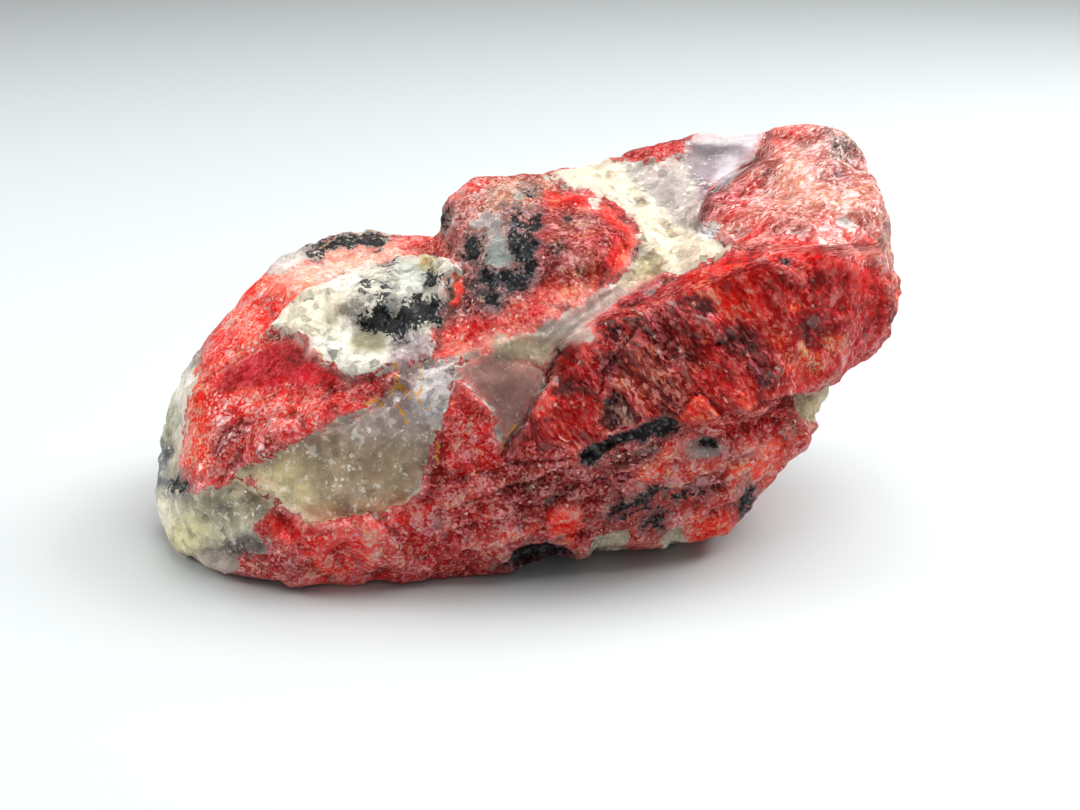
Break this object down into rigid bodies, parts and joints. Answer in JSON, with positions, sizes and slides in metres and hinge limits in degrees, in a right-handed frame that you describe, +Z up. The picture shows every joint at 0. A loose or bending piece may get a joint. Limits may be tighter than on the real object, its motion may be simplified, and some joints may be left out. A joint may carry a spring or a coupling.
{
  "type": "rough rhodonite",
  "caption": "Rough lump of red rhodonite grown together with pale grey quartz and black manganese oxide, lying on its flat side.",
  "frame": {"origin": "under the middle of the stone, in the plane it rests on", "axes": "+Z up, +X along the length towards the tall angular end, -Y towards the broad broken front"},
  "size_m": [0.119, 0.062, 0.061],
  "materials": {
    "rhodonite": "rough broken crystal, red with grey quartz and black spots"
  },
  "bodies": {
    "root": {"rhodonite_stone": "rhodonite"}
  },
  "joints": []
}
